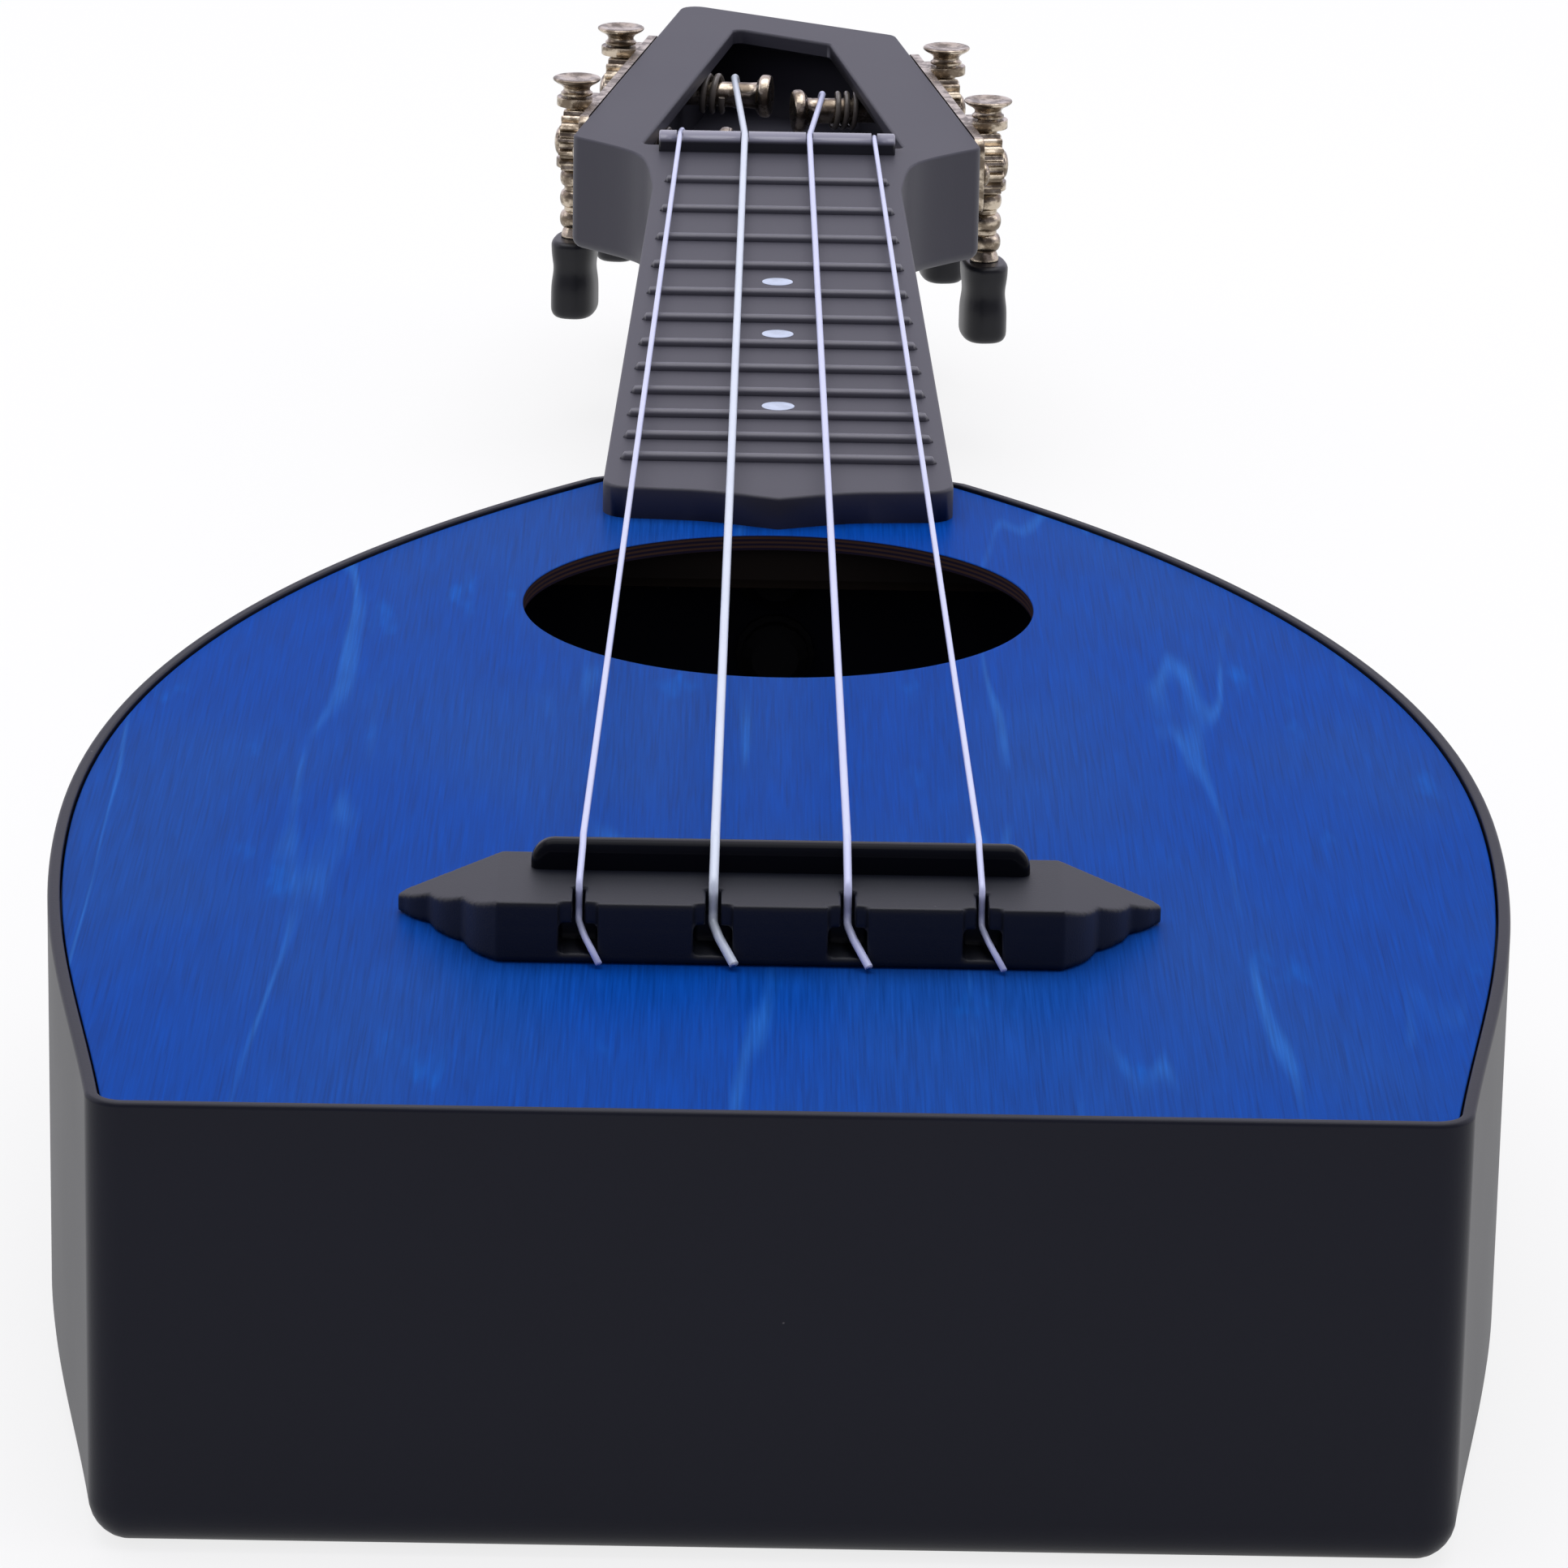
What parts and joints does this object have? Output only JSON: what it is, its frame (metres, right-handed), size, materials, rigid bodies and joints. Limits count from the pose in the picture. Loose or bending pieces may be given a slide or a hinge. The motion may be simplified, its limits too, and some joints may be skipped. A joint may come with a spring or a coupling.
{
  "type": "soprano ukulele",
  "caption": "Soprano ukulele with a square-ended moulded body, inset plywood top, round sound hole, tie bridge and worm-geared tuners in a hollow leaning headstock.",
  "frame": {"origin": "middle of the bounding box at the height of the back, which lies on the floor", "axes": "+Y towards the headstock, +Z out of the top plate, +X towards the first string"},
  "size_m": [0.155, 0.5062, 0.057],
  "materials": {
    "black_moulding": "satin, fine specks",
    "charcoal_moulding": "matte",
    "blue_plywood": "deep blue stain, satin, fine grain along the instrument",
    "pale_brace_wood": "bare",
    "bridge_black": "satin",
    "gloss_black": "gloss",
    "pearl_white": "pearly",
    "nickel": "bright warm nickel",
    "black_button": "satin",
    "clear_nylon": "clear, faintly lavender",
    "steel": "plain"
  },
  "bodies": {
    "instrument": {"body_shell": "black_moulding", "top_plate": "blue_plywood", "front_brace": "pale_brace_wood", "rear_brace": "pale_brace_wood", "bridge_patch": "pale_brace_wood", "bridge": "bridge_black", "saddle": "gloss_black", "neck": "charcoal_moulding", "fingerboard": "charcoal_moulding", "nut": "charcoal_moulding", "position_dot_5": "pearl_white", "position_dot_7": "pearl_white", "position_dot_10": "pearl_white", "neck_screw_upper": "steel", "neck_screw_lower": "steel", "neck_washer_upper": "steel", "neck_washer_lower": "steel", "tuner_strip_left": "nickel", "tuner_strip_right": "nickel", "strip_screw_left_1": "nickel", "strip_screw_left_2": "nickel", "strip_screw_left_3": "nickel", "strip_screw_right_1": "nickel", "strip_screw_right_2": "nickel", "strip_screw_right_3": "nickel", "string_g": "clear_nylon", "string_c": "clear_nylon", "string_e": "clear_nylon", "string_a": "clear_nylon"},
    "peg_g": {"worm_shaft_g": "nickel", "tuner_button_g": "black_button"},
    "spool_g": {"roller_g": "nickel", "gear_g": "nickel", "gear_screw_g": "nickel", "winding_g": "clear_nylon"},
    "peg_c": {"worm_shaft_c": "nickel", "tuner_button_c": "black_button"},
    "spool_c": {"roller_c": "nickel", "gear_c": "nickel", "gear_screw_c": "nickel", "winding_c": "clear_nylon"},
    "peg_e": {"worm_shaft_e": "nickel", "tuner_button_e": "black_button"},
    "spool_e": {"roller_e": "nickel", "gear_e": "nickel", "gear_screw_e": "nickel", "winding_e": "clear_nylon"},
    "peg_a": {"worm_shaft_a": "nickel", "tuner_button_a": "black_button"},
    "spool_a": {"roller_a": "nickel", "gear_a": "nickel", "gear_screw_a": "nickel", "winding_a": "clear_nylon"}
  },
  "joints": [
    {"name": "peg_g_turn", "type": "hinge", "parent": "instrument", "child": "peg_g", "pos_m": [-0.03024, 0.18705, 0.0463], "axis": [0, 0, 1], "continuous": true},
    {"name": "spool_g_turn", "type": "hinge", "parent": "instrument", "child": "spool_g", "pos_m": [-0.0267, 0.1794, 0.0444], "axis": [-0.9876, 0.157, 0], "continuous": true},
    {"name": "peg_c_turn", "type": "hinge", "parent": "instrument", "child": "peg_c", "pos_m": [-0.02428, 0.22458, 0.0463], "axis": [0, 0, 1], "continuous": true},
    {"name": "spool_c_turn", "type": "hinge", "parent": "instrument", "child": "spool_c", "pos_m": [-0.02073, 0.21693, 0.0444], "axis": [-0.9876, 0.157, 0], "continuous": true},
    {"name": "peg_e_turn", "type": "hinge", "parent": "instrument", "child": "peg_e", "pos_m": [0.02626, 0.21384, 0.0463], "axis": [0, 0, 1], "continuous": true},
    {"name": "spool_e_turn", "type": "hinge", "parent": "instrument", "child": "spool_e", "pos_m": [0.02261, 0.20624, 0.0444], "axis": [0.9897, 0.1429, 0], "continuous": true},
    {"name": "peg_a_turn", "type": "hinge", "parent": "instrument", "child": "peg_a", "pos_m": [0.03169, 0.17623, 0.0463], "axis": [0, 0, 1], "continuous": true},
    {"name": "spool_a_turn", "type": "hinge", "parent": "instrument", "child": "spool_a", "pos_m": [0.02804, 0.16863, 0.0444], "axis": [0.9897, 0.1429, 0], "continuous": true}
  ],
  "couplings": [
    {"joint": "spool_g_turn", "follows": "peg_g_turn", "ratio": 0.071429},
    {"joint": "spool_c_turn", "follows": "peg_c_turn", "ratio": 0.071429},
    {"joint": "spool_e_turn", "follows": "peg_e_turn", "ratio": -0.071429},
    {"joint": "spool_a_turn", "follows": "peg_a_turn", "ratio": -0.071429}
  ]
}
